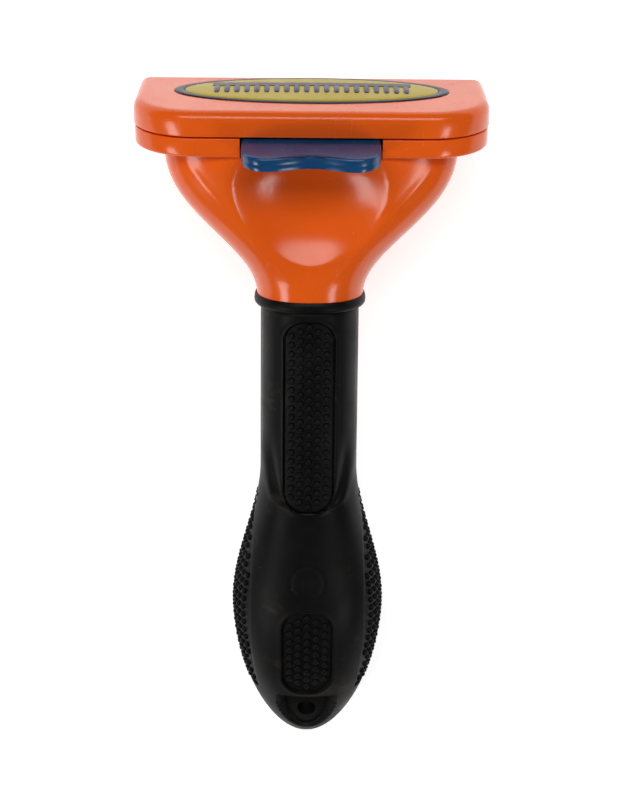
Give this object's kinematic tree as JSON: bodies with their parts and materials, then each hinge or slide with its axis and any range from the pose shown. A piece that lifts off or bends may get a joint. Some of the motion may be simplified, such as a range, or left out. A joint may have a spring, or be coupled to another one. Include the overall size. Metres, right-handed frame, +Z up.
{
  "type": "deshedding tool",
  "caption": "Hand-held deshedding tool with a toothed steel edge in a wide head, a sliding button that clears the hair, and a rubber grip.",
  "frame": {"origin": "middle of the tool's box, on the table it rests on", "axes": "+Y from the tail to the head, +Z up out of the thumb side, X across"},
  "size_m": [0.078, 0.1582, 0.0567],
  "materials": {
    "orange_shell": "glossy moulded plastic with fine scuffs",
    "button_blue": "glossy moulded plastic",
    "badge_yellow": "smooth printed plate",
    "badge_navy": "smooth, dark",
    "blade_steel": "ground stainless steel",
    "steel_screws": "plated",
    "spring_steel": "drawn wire",
    "core_plastic": "plain moulded",
    "grip_rubber": "satin soft rubber",
    "pad_rubber": "matt rubber with raised dots"
  },
  "bodies": {
    "handle": {"top_cover": "orange_shell", "head_body": "orange_shell", "cover_screws": "steel_screws", "blade": "blade_steel", "blade_screws": "steel_screws", "badge_rim": "badge_navy", "badge_face": "badge_yellow", "badge_emblem": "badge_navy", "return_spring_left": "spring_steel", "return_spring_right": "spring_steel", "handle_core": "core_plastic", "tang_pin": "steel_screws", "grip_skin": "grip_rubber", "thumb_pad": "pad_rubber", "palm_pad": "pad_rubber", "side_pad_left": "pad_rubber", "side_pad_right": "pad_rubber"},
    "ejector": {"thumb_button": "button_blue", "ejector_carriage": "button_blue", "ejector_bar": "button_blue", "bar_screws": "steel_screws"}
  },
  "joints": [
    {"name": "ejector_slide", "type": "slide", "parent": "handle", "child": "ejector", "axis": [0, 0.1676, -0.9858], "range_m": [0, 0.009], "stiffness_N_per_m": 350, "springref_m": -0.004, "deforming": ["return_spring_left", "return_spring_right"]}
  ]
}
